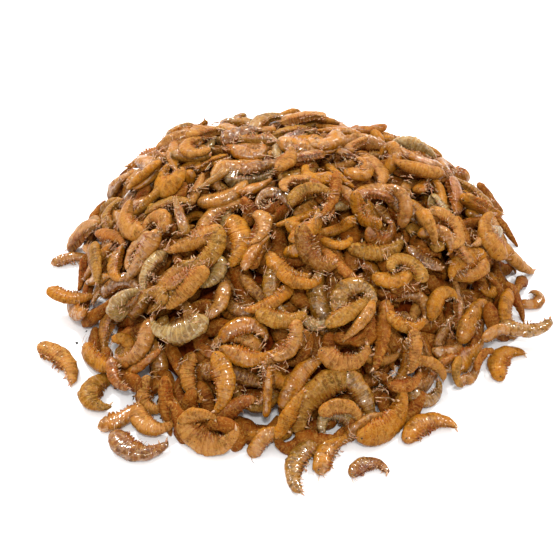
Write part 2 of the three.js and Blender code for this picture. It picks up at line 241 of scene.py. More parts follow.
camera = bpy.data.objects.new("camera", bpy.data.cameras.new("camera"))
bpy.context.scene.collection.objects.link(camera)
bpy.context.scene.camera = camera
camera.data.lens = camera.data.sensor_width * FOCAL_PIXELS / PHOTO_SIDE
camera.data.shift_x = -PHOTO_OFFSET[0] / PHOTO_SIDE
camera.data.shift_y = -PHOTO_OFFSET[1] / PHOTO_SIDE
camera.data.clip_start = 10 * MM
camera.location = Vector((
    LOOK_AT[0],
    LOOK_AT[1] - CAMERA_AWAY * math.cos(CAMERA_ABOVE),
    LOOK_AT[2] + CAMERA_AWAY * math.sin(CAMERA_ABOVE),
)) * MM
camera.rotation_euler = (math.pi / 2 - CAMERA_ABOVE, 0, 0)


# How the shrimp settle.

dice = SEED


def random():
    """The next chance from 0 to 1, drawn as the part's source draws it."""
    global dice
    dice = (dice * 1664525 + 1013904223) % 4294967296
    return dice / 4294967296


def foot_radius(bearing):
    share = 1
    for turns, cosine, sine in FOOT_LOBES:
        share = share + cosine * np.cos(turns * bearing) + sine * np.sin(turns * bearing)
    return HEAP_RADIUS * share


def dome_height(x, y, deeper=0):
    """Height of the dome over points, for the heap's surface or one that lies deeper."""
    place = np.hypot(x, y) / (foot_radius(np.arctan2(y, x)) - deeper)
    inside = np.maximum(0, 1 - place * place)
    height = (HEAP_HEIGHT - deeper) * inside ** DOME_POWER
    for middle_x, middle_y, swell, reach in SWELLS:
        away = np.hypot(x - middle_x, y - middle_y) / reach
        height = height + swell * inside / (1 + away * away * away * away)
    return np.where(place >= 1, 0, np.maximum(0, height))


def unit(vector):
    return vector / math.sqrt(vector @ vector)


def slope_normal(x, y):
    heights = dome_height(np.array([x + 1, x - 1, x, x]), np.array([y, y, y + 1, y - 1]))
    run = heights[0] - heights[1]
    rise = heights[2] - heights[3]
    slope = math.hypot(run, rise) / 2
    eased = STEEPEST_SLOPE / slope if slope > STEEPEST_SLOPE else 1
    return unit(np.array([-run / 2 * eased, -rise / 2 * eased, 1]))


def body_shape(along):
    """Half the depth of the body from its head at 0 to its tail at 1, as a share of the deepest."""
    ahead = np.maximum(0, 1 - along / NOSE)
    behind = np.maximum(0, (along - DEEPEST) / (1 - DEEPEST))
    end = np.clip(1 - (1 - along) / TAIL_ROUND, 0, 1)
    taper = 1 - TAPER * behind ** TAPER_POWER
    return np.sqrt(np.maximum(0, 1 - ahead * ahead)) * taper * np.sqrt(np.maximum(0, 1 - end * end))


def body_line(length, curl, count):
    """Points and back directions along the curled body from its head, and the middle of the points."""
    along = np.arange(count + 1) / count
    turn = curl * (0.5 - HEAD_TURN * along - (1 - HEAD_TURN) * along * along)
    half = along[:-1] + 0.5 / count
    step = curl * (0.5 - HEAD_TURN * half - (1 - HEAD_TURN) * half * half)
    x = np.concatenate([[0], np.cumsum(length / count * np.cos(step))])
    y = np.concatenate([[0], np.cumsum(length / count * np.sin(step))])
    line = np.stack([x, y], 1)
    back = np.stack([-np.sin(turn), np.cos(turn)], 1)
    return line, back, line.mean(0)


def kind_curl(kind):
    share = (kind + 0.5) / CURL_KINDS
    return math.radians(CURL_LEAST + (CURL_MOST - CURL_LEAST) * share ** CURL_POWER)


def lay_shrimp(x, y, heading, length, curl, side, roll, pitch):
    """A shrimp laid on the slope: its axes run along the body, out through its back, and sideways."""
    normal = slope_normal(x, y)
    along = np.array([math.cos(heading), math.sin(heading), 0])
    along = unit(along - normal * (along @ normal))
    level = np.cross(normal, along)
    tipped = along * math.cos(pitch) + normal * math.sin(pitch)
    upright = np.cross(tipped, level)
    back = level * side * math.cos(roll) + upright * math.sin(roll)
    return {
        "length": length, "curl": curl, "along": tipped, "back": back,
        "flank": np.cross(tipped, back), "middle": np.array([x, y, 0.0]),
    }


STATION_SHAPE = body_shape(np.arange(STATIONS + 1) / STATIONS)
RISES = np.array([-0.8, -0.4, 0, 0.4, 0.8])


def body_points(shrimp):
    """Points all over a shrimp's body, by which it settles on what lies below."""
    line, back, middle = body_line(shrimp["length"], shrimp["curl"], STATIONS)
    half_depth = shrimp["length"] * DEPTH_PER_LENGTH / 2
    half_width = half_depth * WIDTH_PER_DEPTH
    across = STATION_SHAPE[:, None] * RISES * half_depth
    thick = STATION_SHAPE[:, None] * half_width * np.sqrt(1 - RISES * RISES)
    line = line - middle
    forward = line[:, 0, None] + back[:, 0, None] * across
    outward = line[:, 1, None] + back[:, 1, None] * across
    flat = (
        shrimp["middle"]
        + shrimp["along"] * forward[..., None]
        + shrimp["back"] * outward[..., None]
    )
    sideways = shrimp["flank"] * thick[..., None]
    return np.stack([flat - sideways, flat, flat + sideways], 2).reshape(-1, 3)


def cells_of(points):
    column = np.floor(points[:, 0] + MAP_REACH + 0.5).astype(int)
    row = np.floor(points[:, 1] + MAP_REACH + 0.5).astype(int)
    return row * MAP_SIDE + column


map_x, map_y = np.meshgrid(np.arange(MAP_SIDE) - MAP_REACH, np.arange(MAP_SIDE) - MAP_REACH)
ground = dome_height(map_x.ravel().astype(float), map_y.ravel().astype(float), BARE_DEPTH)
bare = ground.copy()
kept = np.zeros(MAP_SIDE * MAP_SIDE)


def let_down(shrimp):
    """Lets a shrimp down until it touches, and says how well it lies there."""
    points = body_points(shrimp)
    cells = cells_of(points)
    needs = np.sort(ground[cells] - points[:, 2])
    lift = needs[int(len(needs) * TOUCH_SHARE)]
    height = max(lift, -points[:, 2].min())
    shrimp["middle"][2] = height
    points[:, 2] += height
    stand = np.sum(points[:, 2] - dome_height(points[:, 0], points[:, 1]))
    cover = np.sum(kept[cells])
    level = slope_normal(shrimp["middle"][0], shrimp["middle"][1])[2]
    shrimp["points"] = points
    shrimp["cells"] = cells
    shrimp["score"] = (stand * level + cover * COVER_COST) / len(points)
    return shrimp


def settle(shrimp, keep):
    np.maximum.at(ground, shrimp["cells"], shrimp["points"][:, 2])
    if keep:
        np.maximum.at(kept, shrimp["cells"], keep)
    return shrimp


def lie_down():
    """A random shrimp where it comes lowest out of a few tries."""
    length = LENGTH_LEAST + (LENGTH_MOST - LENGTH_LEAST) * (random() + random()) / 2
    curl = kind_curl(math.floor(random() * CURL_KINDS))
    best = None
    for _ in range(TRIES):
        bearing = 2 * math.pi * random()
        distance = (foot_radius(bearing) - EDGE_ROOM) * math.sqrt(random())
        heading = 2 * math.pi * random()
        side = 1 if random() < 0.5 else -1
        flat = ROLL_FLAT if random() < FLAT_SHARE else ROLL_MOST
        roll = math.radians((2 * random() - 1) * flat)
        pitch = math.radians((2 * random() - 1) * PITCH_MOST)
        x = distance * math.cos(bearing)
        y = distance * math.sin(bearing)
        lying = let_down(lay_shrimp(x, y, heading, length, curl, side, roll, pitch))
        if best is None or lying["score"] < best["score"]:
            best = lying
    return best


def scatter():
    return settle(lie_down(), 0)


def placed(row):
    """A shrimp from a row of one of the tables above."""
    x, y, heading, length, curl, side, roll = row
    heading = math.radians(heading)
    return let_down(lay_shrimp(x, y, heading, length, math.radians(curl), side, math.radians(roll), 0))


# The strays first, and room kept about each of them.
strays = {name: placed(row[:6] + [0]) for name, row in STRAYS.items()}
for shrimp in strays.values():
    for row in (-1, 0, 1):
        for column in (-1, 0, 1):
            kept[shrimp["cells"] + row * MAP_SIDE + column] = STRAY_ROOM

under = [scatter() for _ in range(UNDER_COUNT)]
shown = [settle(placed(row[:7]), 1) for row in SHOWN]
upper = [scatter() for _ in range(UPPER_COUNT)]
# More of them go into the hollows that are left, and none where it would stand proud of the heap.
for _ in range(FILL_COUNT):
    filler = lie_down()
    if filler["score"] < FILL_HIGHEST:
        upper.append(settle(filler, 0))
foot_bits = [settle(placed(row[:7]), 0) for row in FOOT_BITS]
for shrimp, row in zip(shown + foot_bits, SHOWN + FOOT_BITS):
    shrimp["kind"] = row[7]


# Chance for all that the part's source doesn't have.
toss = np.random.default_rng(SEED)


def near_cells(marks):
    """The marked cells of the map and their neighbours."""
    square = marks.reshape(MAP_SIDE, MAP_SIDE)
    for axis in (0, 1):
        square = square | np.roll(square, 1, axis) | np.roll(square, -1, axis)
    return square.ravel()


# A deeper layer lies straight on the core wherever it would still be seen between the others.
covered = ground > bare + DEEP_COVER
for shrimp in under + shown + upper:
    covered[shrimp["cells"]] = True
heights = dome_height(map_x.ravel().astype(float), map_y.ravel().astype(float), DEEP_EDGE)
open_cells = ~covered & (heights > 0)
deep = []
surface = ground
ground = bare.copy()
while open_cells.any() and len(deep) < DEEP_MOST:
    gaps = np.flatnonzero(open_cells)
    cell = gaps[toss.integers(len(gaps))]
    x, y = map_x.ravel()[cell], map_y.ravel()[cell]
    curl = kind_curl(toss.integers(CURL_KINDS))
    length = toss.uniform(LENGTH_LEAST, DEEP_LENGTH_SHARE * LENGTH_MOST)
    heading = toss.uniform(0, 2 * math.pi)
    side, roll = toss.choice([-1, 1]), math.radians(toss.uniform(-ROLL_FLAT, ROLL_FLAT))
    shrimp = let_down(lay_shrimp(float(x), float(y), heading, length, curl, side, roll, 0))
    seen = np.zeros_like(open_cells)
    seen[shrimp["cells"]] = True
    seen[cell] = True
    open_cells &= ~near_cells(seen)
    deep.append(shrimp)
ground = surface


def shown_share(shrimp):
    """Share of a shrimp's points that nothing else has covered."""
    return np.mean(shrimp["points"][:, 2] > ground[shrimp["cells"]] - OPEN_ROOM)


kind_names = list(KIND_SHARES)
for shrimp in under + upper + deep:
    shrimp["kind"] = kind_names[toss.choice(len(kind_names), p=list(KIND_SHARES.values()))]
    shrimp["open"] = shown_share(shrimp)
outer = [shrimp for shrimp in under + upper if shrimp["open"] >= OUTER_FROM]
inner = [shrimp for shrimp in under + upper if shrimp["open"] < OUTER_FROM] + deep

legs = []
for _ in range(LOOSE_LEGS):
    bearing = toss.uniform(0, 2 * math.pi)
    away = foot_radius(bearing) * math.sqrt(toss.uniform(0, LEG_AREA))
    tries = []
    for _ in range(LEG_TRIES):
        x = away * math.cos(bearing) + toss.normal(0, LEG_SPREAD)
        y = away * math.sin(bearing) + toss.normal(0, LEG_SPREAD)
        heading, length = toss.uniform(0, 2 * math.pi), toss.uniform(*LEG_LENGTHS)
        tries.append(let_down(lay_shrimp(x, y, heading, length, SMALL_CURL, 1, 0, 0)))
    legs.append(min(tries, key=lambda shrimp: shrimp["score"]))

crumbs = []
for _ in range(CRUMBS):
    bearing = toss.uniform(0, 2 * math.pi)
    away = foot_radius(bearing) + toss.exponential(CRUMB_SPREAD) - CRUMB_INSET
    x, y = away * math.cos(bearing), away * math.sin(bearing)
    heading, length = toss.uniform(0, 2 * math.pi), toss.uniform(*CRUMB_LENGTHS)
    crumbs.append(lay_shrimp(x, y, heading, length, SMALL_CURL, 1, 0, 0))


# Straight shrimp, before they are curled. Their mesh space is the body's own: x from the head at 0
# to the tail at 1, y towards the back in half depths, z sideways in half widths. BODY, LEG and EYE
# say which finish a vertex takes, and the phase counts segments along the body.

BODY, LEG, EYE = 0, 1, 2
HALF_DEPTH = MODEL_LENGTH * DEPTH_PER_LENGTH / 2
BODY_UNITS = np.array([MODEL_LENGTH, HALF_DEPTH, HALF_DEPTH * WIDTH_PER_DEPTH])
MID_SEGMENT = 0.5


class Shell:
    """Vertices, faces and their marks, gathered piece by piece."""

    def __init__(self):
        self.points, self.faces, self.part, self.phase = [], [], [], []

    def loft(self, rings, part, phases=None):
        """Joins rings of points, the first and last of which may be single points."""
        starts = []
        for index, ring in enumerate(rings):
            starts.append((len(self.points), len(ring)))
            self.points.extend(ring)
            self.part.extend([part] * len(ring))
            self.phase.extend([phases[index] if phases else MID_SEGMENT] * len(ring))
        for (start, count), (after, next_count) in zip(starts, starts[1:]):
            around = max(count, next_count)
            for k in range(around):
                turn = (k + 1) % around
                face = [start + (k if count > 1 else 0)]
                if next_count > 1:
                    face += [after + k, after + turn]
                else:
                    face += [after]
                if count > 1:
                    face += [start + turn]
                self.faces.append(face)
        for (start, count), last in ((starts[0], False), (starts[-1], True)):
            if count > 1:
                face = list(range(start, start + count))
                self.faces.append(face[::-1] if last else face)

    def object(self, name, collection):
        """The shell as an object whose vertices keep their part, phase and straight place."""
        mesh = bpy.data.meshes.new(name)
        mesh.from_pydata([tuple(point) for point in self.points], [], self.faces)
        mesh.polygons.foreach_set("use_smooth", [True] * len(mesh.polygons))
        mesh.attributes.new("part", "INT", "POINT").data.foreach_set("value", self.part)
        mesh.attributes.new("phase", "FLOAT", "POINT").data.foreach_set("value", self.phase)
        place = mesh.attributes.new("place", "FLOAT_VECTOR", "POINT")
        place.data.foreach_set("vector", np.array(self.points, float).ravel())
        made = bpy.data.objects.new(name, mesh)
        collection.objects.link(made)
        return made


# Half a cross-section from the back to the belly: towards the back, sideways. The last but one is
# the lower edge of the side plates.
SECTION = [[1, 0], [0.87, 0.5], [0.48, 0.88], [-0.1, 1], [-0.6, 0.88], [-0.98, 0.56], [-0.5, 0]]
HUSK_SECTION = [[1, 0], [0.88, 0.5], [0.5, 0.9], [0, 1.02], [-0.5, 1], [-1, 0.8], [0.25, 0]]
ROUGH_SECTION = [[1, 0], [0.6, 0.85], [-0.3, 0.95], [-0.95, 0.5], [-0.6, 0]]

# Places in a segment from its front edge: how far along it, and how much prouder the body is there.
SEGMENT_STEPS = [[0.0, -0.018], [0.16, 0.004], [0.7, 0.01]]
ROUGH_STEPS = [[0.3, 0]]
# The side plates hang from the segments between these places, and end between the last two.
PLATES = [0.05, 0.2, 0.52, 0.8]
PLATE_HANG = [0, 1, 1, 0.15]
# How unevenly they hang, from segment to segment and along each edge, and how deep they are notched.
HANG_SHARES = [0.6, 1.2]
EDGE_SHARES = [-0.3, 1]
NOTCH = 1.4
# How stout the body is at these places, for each build, and how much that varies.
BUILD_PLACES = [0, 0.2, 0.45, 0.75, 1]
BLUNT = [1.05, 1, 1, 1.12, 1.5]
LENS = [0.8, 0.95, 1.1, 1.05, 1.1]
HUNCHED = [0.9, 1.1, 1.04, 0.95, 1.2]
SLIM = [0.85, 0.88, 0.88, 0.95, 1.3]
UNEVEN = 0.012
# Segments are shorter towards the tail.
SEGMENT_LENGTHS = 1.2 - 0.5 * np.arange(SEGMENTS) / SEGMENTS


def add_body(shell, chance, section, steps, build, girth, plates, ragged, creased):
    """The segmented body, with a ragged row of side plates that hang below its belly."""
    shares = np.concatenate([[0], np.cumsum(SEGMENT_LENGTHS)]) / SEGMENT_LENGTHS.sum()
    edges = SEGMENT_FROM + (SEGMENT_TO - SEGMENT_FROM) * shares
    # Each station: its place along the body, how proud it is, its phase and how far the plates hang.
    stations = [[0.012, 0, MID_SEGMENT, 0], [0.045, 0.01, 0.7, 0]]
    for segment in range(SEGMENTS):
        hang = plates * chance.uniform(*HANG_SHARES)
        for share, proud in steps:
            along = edges[segment] + (edges[segment + 1] - edges[segment]) * share
            uneven = ragged * chance.uniform(*EDGE_SHARES) if proud > 0 else -NOTCH * ragged
            stations.append([along, proud, 1 + segment + share, hang + uneven])
    stations.append([0.985, 0, SEGMENTS + 1 + MID_SEGMENT, 0])
    half = np.array(section, float)
    whole = np.concatenate([half, half[-2:0:-1] * [1, -1]])
    # Of a ring, the belly's point and two at either side of it hang down.
    belly = len(half) - 1
    hanging = {belly - 2: 0.35, belly - 1: 1, belly: 0.8, belly + 1: 1, belly + 2: 0.35}
    rings = [[[0, 0.1, 0]]]
    for along, proud, _, drop in stations:
        size = body_shape(np.float64(along)) * girth * (1 + proud) * (1 + chance.normal(0, UNEVEN))
        size *= np.interp(along, BUILD_PLACES, build)
        ring = whole * size
        ring = ring * (1 + chance.normal(0, creased, ring.shape))
        hung = drop * size * np.interp(along, PLATES, PLATE_HANG)
        for point, share in hanging.items():
            ring[point, 0] -= hung * share
            ring[point, 1] *= 1 - 0.2 * share * min(1, drop)
        rings.append([[along, rise, side] for rise, side in ring])
    rings.append([[1, -0.1, 0]])
    phases = [MID_SEGMENT] + [station[2] for station in stations] + [SEGMENTS + 1 + MID_SEGMENT]
    shell.loft(rings, BODY, phases)


def add_rod(shell, path, thick, sides=3, flat=1):
    """A thin closed rod along a path in millimetres that tapers and ends in a point."""
    path = np.array(path, float)
    rings = []
    for index, point in enumerate(path[:-1]):
        ahead = path[index + 1] - path[max(0, index - 1)]
        first = unit(np.cross(ahead, [0.3, 0.2, 1]))
        second = unit(np.cross(ahead, first))
        radius = thick / 2 * (1 - 0.6 * index / (len(path) - 1))
        ring = []
        for side in range(sides):
            angle = 2 * math.pi * side / sides
            spot = point + radius * (first * math.cos(angle) + second * math.sin(angle) * flat)
            ring.append(spot / BODY_UNITS)
        rings.append(ring)
    rings.append([path[-1] / BODY_UNITS])
    shell.loft(rings, LEG)


def add_legs(shell, chance, pairs, length, plates):
    """Walking legs that fold back or forward under the side plates."""
    for pair in range(pairs):
        along = LEGS_FROM + LEGS_SPAN * (pair + 0.5) / pairs
        sweep = -0.7 if along < LEGS_FORWARD_TO else 0.9
        for side in (-1, 1):
            if chance.random() < LEG_MISSING:
                continue
            reach = length * chance.uniform(0.35, 1)
            out = side * chance.uniform(0.1, 0.7)
            start = np.array([along * MODEL_LENGTH, -(0.75 + 0.7 * plates) * HALF_DEPTH, side * 0.5])
            knee = start + [sweep * reach * chance.uniform(0.1, 0.7), -reach * 0.45, out]
            fold = chance.uniform(0.1, 1.1)
            foot = knee + [sweep * reach * fold, -reach * 0.25, out * 0.6]
            add_rod(shell, [start, knee, foot], LEG_WIDE * chance.uniform(0.5, 1.3), 3, LEG_FLAT)


def add_tail(shell, chance, flaps):
    """Flaps under the rear of the body, and the spread tail fan."""
    for pair in range(flaps):
        along = (FLAPS_FROM + FLAP_STEP * pair) * MODEL_LENGTH
        for side in (-1, 1):
            start = np.array([along, -0.5 * HALF_DEPTH * (0.8 - 0.15 * pair), side * 0.4])
            end = start + [0.8 * chance.uniform(0, 1.4), -1.5 * chance.uniform(0.5, 1.2), side * 0.4]
            add_rod(shell, [start, (start + end) / 2 + [0.15, 0, 0], end], *BLADE)
    for side in (-1, 0, 1):
        start = np.array([FAN_FROM * MODEL_LENGTH, -0.1, side * 0.25])
        end = start + [1.6 * chance.uniform(0.7, 1.2), -0.6 + 0.3 * abs(side), side * 0.6]
        add_rod(shell, [start, (start + end) / 2, end], *BLADE)


def add_feelers(shell, chance, count):
    for index in range(count):
        side = -1 if index % 2 else 1
        point = np.array([0.3, 0.3 if index < 2 else -0.4, side * 0.4])
        path = [point]
        ahead = np.array([-1, chance.uniform(-0.8, 0.4), side * chance.uniform(0.1, 0.5)])
        for _ in range(3):
            point = point + unit(ahead) * chance.uniform(0.8, 1.5)
            ahead = ahead + [0.1, chance.uniform(-0.7, 0.1), chance.uniform(-0.3, 0.3)]
            path.append(point)
        add_rod(shell, path, FEELER_THICK)


def add_eyes(shell):
    for side in (-1, 1):
        centre = np.array([EYE_AT, 0.2, side * 0.72 * body_shape(np.float64(EYE_AT))])
        reach = np.array([EYE_RADIUS, 0, 0]) / BODY_UNITS
        ring = []
        for turn in range(6):
            angle = math.pi * turn / 3
            spot = np.array([0, EYE_RADIUS * math.cos(angle), EYE_RADIUS * math.sin(angle)])
            ring.append(centre + spot / BODY_UNITS)
        shell.loft([[centre - reach], ring, [centre + reach]], EYE)


forms = bpy.data.collections.new("straight shrimp")
form_of = {}


def keep_form(shell, name):
    form_of[name] = len(form_of)
    shell.object(f"form_{form_of[name]:02d}", forms)


# Each kind has its section and steps. Each of its forms has its build, its girth, how far the plates
# hang, how ragged and how creased it is, pairs of legs and their length, flaps and feelers.
FORMS = {
    "fine": [SECTION, SEGMENT_STEPS, [
        [BLUNT, 1, 0.25, 0.12, 0.02, 5, 1.3, 3, 0],
        [LENS, 0.96, 0.3, 0.15, 0.025, 5, 1.2, 2, 2],
        [HUNCHED, 0.96, 0.2, 0.12, 0.02, 6, 1.7, 3, 3],
        [LENS, 0.96, 0.4, 0.2, 0.03, 6, 1.0, 2, 0],
        [SLIM, 1, 0.3, 0.16, 0.03, 6, 1.5, 3, 2],
        [HUNCHED, 0.9, 0.1, 0.1, 0.035, 4, 1.4, 2, 1],
        [SLIM, 0.95, 0.4, 0.2, 0.04, 6, 1.6, 3, 3],
        [BLUNT, 0.92, 0.35, 0.22, 0.03, 5, 1.3, 3, 2],
    ]],
    "shrunk": [SECTION, SEGMENT_STEPS, [
        [BLUNT, 0.74, 0.1, 0.2, 0.1, 4, 1.3, 2, 2],
        [SLIM, 0.76, 0.3, 0.25, 0.13, 4, 1.5, 2, 1],
    ]],
    "husk": [HUSK_SECTION, SEGMENT_STEPS, [
        [HUNCHED, 0.98, 0.2, 0.15, 0.045, 6, 1.6, 2, 3],
        [LENS, 0.96, 0.3, 0.2, 0.06, 6, 1.9, 3, 2],
    ]],
    "plain": [ROUGH_SECTION, ROUGH_STEPS, [
        [LENS, 0.96, 0.25, 0.15, 0.025, 3, 1.6, 1, 0],
        [HUNCHED, 0.96, 0.4, 0.2, 0.03, 3, 1.3, 1, 1],
        [BLUNT, 0.96, 0.15, 0.15, 0.03, 2, 1.5, 0, 0],
    ]],
    "rough": [ROUGH_SECTION, ROUGH_STEPS, [
        [LENS, 1, 0.3, 0.15, 0.025, 0, 0, 0, 0],
        [HUNCHED, 1, 0.5, 0.15, 0.025, 1, 1.6, 0, 0],
    ]],
}
for kind, (section, steps, rows) in FORMS.items():
    for index, (build, girth, plates, *worn, pairs, long, flaps, feelers) in enumerate(rows):
        chance = np.random.default_rng(SEED + len(form_of))
        shell = Shell()
        add_body(shell, chance, section, steps, build, girth, plates, *worn)
        add_legs(shell, chance, pairs, long, plates)
        if flaps:
            add_tail(shell, chance, flaps)
        add_feelers(shell, chance, feelers)
        if kind == "fine":
            add_eyes(shell)
        keep_form(shell, f"{kind} {index}")
for index in range(SMALL_FORMS):
    chance = np.random.default_rng(BUNDLE_SEED + index)
    shell = Shell()
    for _ in range(BUNDLE_RODS):
        begin = np.array([MODEL_LENGTH / 2, 0, -1.2]) + chance.uniform(-2, 2, 3) * [1, 1, 0.15]
        knee = begin + chance.normal(0, 1.5, 3) * [1, 1, 0.2]
        foot = knee + chance.normal(0, 1.3, 3) * [1, 1, 0.2]
        add_rod(shell, [begin, knee, foot], BUNDLE_THICK)
    keep_form(shell, f"legs {index}")
for index in range(SMALL_FORMS):
    chance = np.random.default_rng(CRUMB_SEED + index)
    shell = Shell()
    begin = np.array([MODEL_LENGTH / 2, 0, -2])
    path = [begin, begin + chance.normal(0, 0.5, 3), begin + chance.normal(0, 0.9, 3)]
    add_rod(shell, path, 0.9, 5, 0.7)
    keep_form(shell, f"crumb {index}")


# The two kinds of node that the trees use most.
MATH, VECTORS = "ShaderNodeMath", "ShaderNodeVectorMath"


def add(tree, kind, *values, inputs=None, **settings):
    """Adds a node with its settings, and links or sets its inputs by number or name. A node that
    is given as an input stands for its first output in use."""
    made = tree.nodes.new(kind)
    for name, value in settings.items():
        setattr(made, name, value)
    for name, value in [*enumerate(values), *(inputs or {}).items()]:
        if isinstance(value, bpy.types.Node):
            value = next(socket for socket in value.outputs if socket.enabled)
        if isinstance(value, bpy.types.NodeSocket):
            tree.links.new(value, made.inputs[name])
        else:
            made.inputs[name].default_value = value
    return made


CURL_STEPS = 14
DENT = 0.12
# The noise behind the dents is drawn out across the body, and is read far apart for each shrimp.
DENT_SCALE = 0.9
DENT_STRETCH = 7.0
DENT_APART = 900.0
# A shrimp's legs reach this share of the way to the middle of its curl.
INMOST_SHARE = 0.85
STRAIGHTEST = 0.3
BOW_MIDDLE = 0.083
TREE_INPUTS = {
    "Places": "Geometry", "Forms": "Collection", "Depth per length": "Float",
    "Width per depth": "Float", "Lowest": "Float", "Body finish": "Material",
    "Leg finish": "Material", "Eye finish": "Material",
}
# What the tree reads at the point of each shrimp.
POINT_MARKS = {
    "FLOAT_VECTOR": ["head", "along", "back", "flank"],
    "FLOAT": ["length", "curl", "plump", "lean"],
    "INT": ["form"],
}


def curling_tree():
    """The tree that puts straight shrimp in their places and curls each one about its belly."""
    tree = bpy.data.node_groups.new("curled shrimp", "GeometryNodeTree")
    for name, kind in TREE_INPUTS.items():
        tree.interface.new_socket(name, in_out="INPUT", socket_type="NodeSocket" + kind)
    tree.interface.new_socket("Shrimp", in_out="OUTPUT", socket_type="NodeSocketGeometry")
    given = add(tree, "NodeGroupInput").outputs
    read = {}
    for kind, names in [*POINT_MARKS.items(), ("INT", ["part"])]:
        for name in names:
            attribute = add(tree, "GeometryNodeInputNamedAttribute", name, data_type=kind)
            read[name] = attribute.outputs["Attribute"]
    length, curl = read["length"], read["curl"]

    info = add(tree, "GeometryNodeCollectionInfo", given["Forms"], inputs={"Separate Children": True})
    put = add(tree, "GeometryNodeInstanceOnPoints", inputs={
        "Points": given["Places"], "Instance": info, "Pick Instance": True,
        "Instance Index": read["form"],
    })
    real = add(tree, "GeometryNodeRealizeInstances", put)
    here = add(tree, "GeometryNodeInputPosition")
    along, rise, side = add(tree, "ShaderNodeSeparateXYZ", here).outputs

    # The middle line is summed in short steps from the head to each vertex's place along it, and
    # the last turn is taken at that place itself.
    begin = add(tree, "GeometryNodeRepeatInput")
    end = add(tree, "GeometryNodeRepeatOutput")
    begin.pair_with_output(end)
    end.repeat_items.clear()
    for name in ("Step", "Forward", "Outward"):
        end.repeat_items.new("FLOAT", name)
    begin.inputs["Iterations"].default_value = CURL_STEPS
    begin.inputs["Step"].default_value = 0.5
    part_way = add(tree, MATH, begin.outputs["Step"], CURL_STEPS, operation="DIVIDE")
    turns = []
    for spot in (add(tree, MATH, along, part_way, operation="MULTIPLY"), along):
        square = add(tree, MATH, spot, spot, operation="MULTIPLY")
        bent = add(tree, MATH, square, HEAD_TURN - 1, 0.5, operation="MULTIPLY_ADD")
        bent = add(tree, MATH, spot, -HEAD_TURN, bent, operation="MULTIPLY_ADD")
        turn = add(tree, MATH, bent, curl, operation="MULTIPLY")
        turns.append([add(tree, MATH, turn, operation=kind) for kind in ("COSINE", "SINE")])
    for name, step in zip(("Step", "Forward", "Outward"), (1, *turns[0])):
        total = add(tree, MATH, begin.outputs[name], step, operation="ADD")
        tree.links.new(total.outputs[0], end.inputs[name])
    cosine, sine = turns[1]

    # Drying leaves each body dented in its own way.
    own = add(tree, VECTORS, read["head"], inputs={"Scale": DENT_APART}, operation="SCALE")
    spread = add(tree, "ShaderNodeCombineXYZ", DENT_STRETCH, 1.0, 1.0)
    own = add(tree, VECTORS, here, spread, own, operation="MULTIPLY_ADD")
    dent = add(tree, "ShaderNodeTexNoise", own, inputs={"Scale": DENT_SCALE, "Detail": 1.0})
    dent = add(tree, "ShaderNodeMapRange", dent, 0.3, 0.7, 1 - DENT, 1 + DENT)
    half_depth = length
    for factor in (given["Depth per length"], 0.5, read["plump"], dent):
        half_depth = add(tree, MATH, half_depth, factor, operation="MULTIPLY")
    across = add(tree, MATH, rise, half_depth, operation="MULTIPLY")
    # Nothing hangs past the middle of the curl, where the legs would come out at the other side.
    bend = add(tree, MATH, curl, STRAIGHTEST, operation="MAXIMUM")
    inmost = add(tree, MATH, length, bend, operation="DIVIDE")
    inmost = add(tree, MATH, inmost, -INMOST_SHARE, operation="MULTIPLY")
    across = add(tree, MATH, across, inmost, operation="MAXIMUM")
    inward = add(tree, MATH, across, -1, operation="MULTIPLY")
    stride = add(tree, MATH, along, length, operation="MULTIPLY")
    stride = add(tree, MATH, stride, CURL_STEPS, operation="DIVIDE")
    reaches = []
    for name, turned, amount in (("Forward", sine, inward), ("Outward", cosine, across)):
        gone = add(tree, MATH, end.outputs[name], stride, operation="MULTIPLY")
        reaches.append(add(tree, MATH, turned, amount, gone, operation="MULTIPLY_ADD"))
    # Sideways the body is a little bowed, so that no two lie quite flat.
    half_width = add(tree, MATH, half_depth, given["Width per depth"], operation="MULTIPLY")
    from_middle = add(tree, MATH, along, 0.5, operation="SUBTRACT")
    bow = add(tree, MATH, from_middle, from_middle, -BOW_MIDDLE, operation="MULTIPLY_ADD")
    lean = add(tree, MATH, read["lean"], length, operation="MULTIPLY")
    bow = add(tree, MATH, bow, lean, operation="MULTIPLY")
    reaches.append(add(tree, MATH, side, half_width, bow, operation="MULTIPLY_ADD"))

    spot = read["head"]
    for axis, amount in zip(("along", "back", "flank"), reaches):
        reach = add(tree, VECTORS, read[axis], inputs={"Scale": amount}, operation="SCALE")
        spot = add(tree, VECTORS, spot, reach, operation="ADD")
    x, y, z = add(tree, "ShaderNodeSeparateXYZ", spot).outputs
    level = add(tree, MATH, z, given["Lowest"], operation="MAXIMUM")
    lifted = add(tree, "ShaderNodeCombineXYZ", x, y, level)
    curled = add(tree, "GeometryNodeSetPosition", real, inputs={"Position": lifted})
    for part, finish in ((BODY, "Body finish"), (LEG, "Leg finish"), (EYE, "Eye finish")):
        chosen = add(
            tree, "FunctionNodeCompare", inputs={2: read["part"], 3: part},
            data_type="INT", operation="EQUAL",
        )
        curled = add(tree, "GeometryNodeSetMaterial", curled, chosen, given[finish])
    add(tree, "NodeGroupOutput", curled)
    return tree


curling = curling_tree()


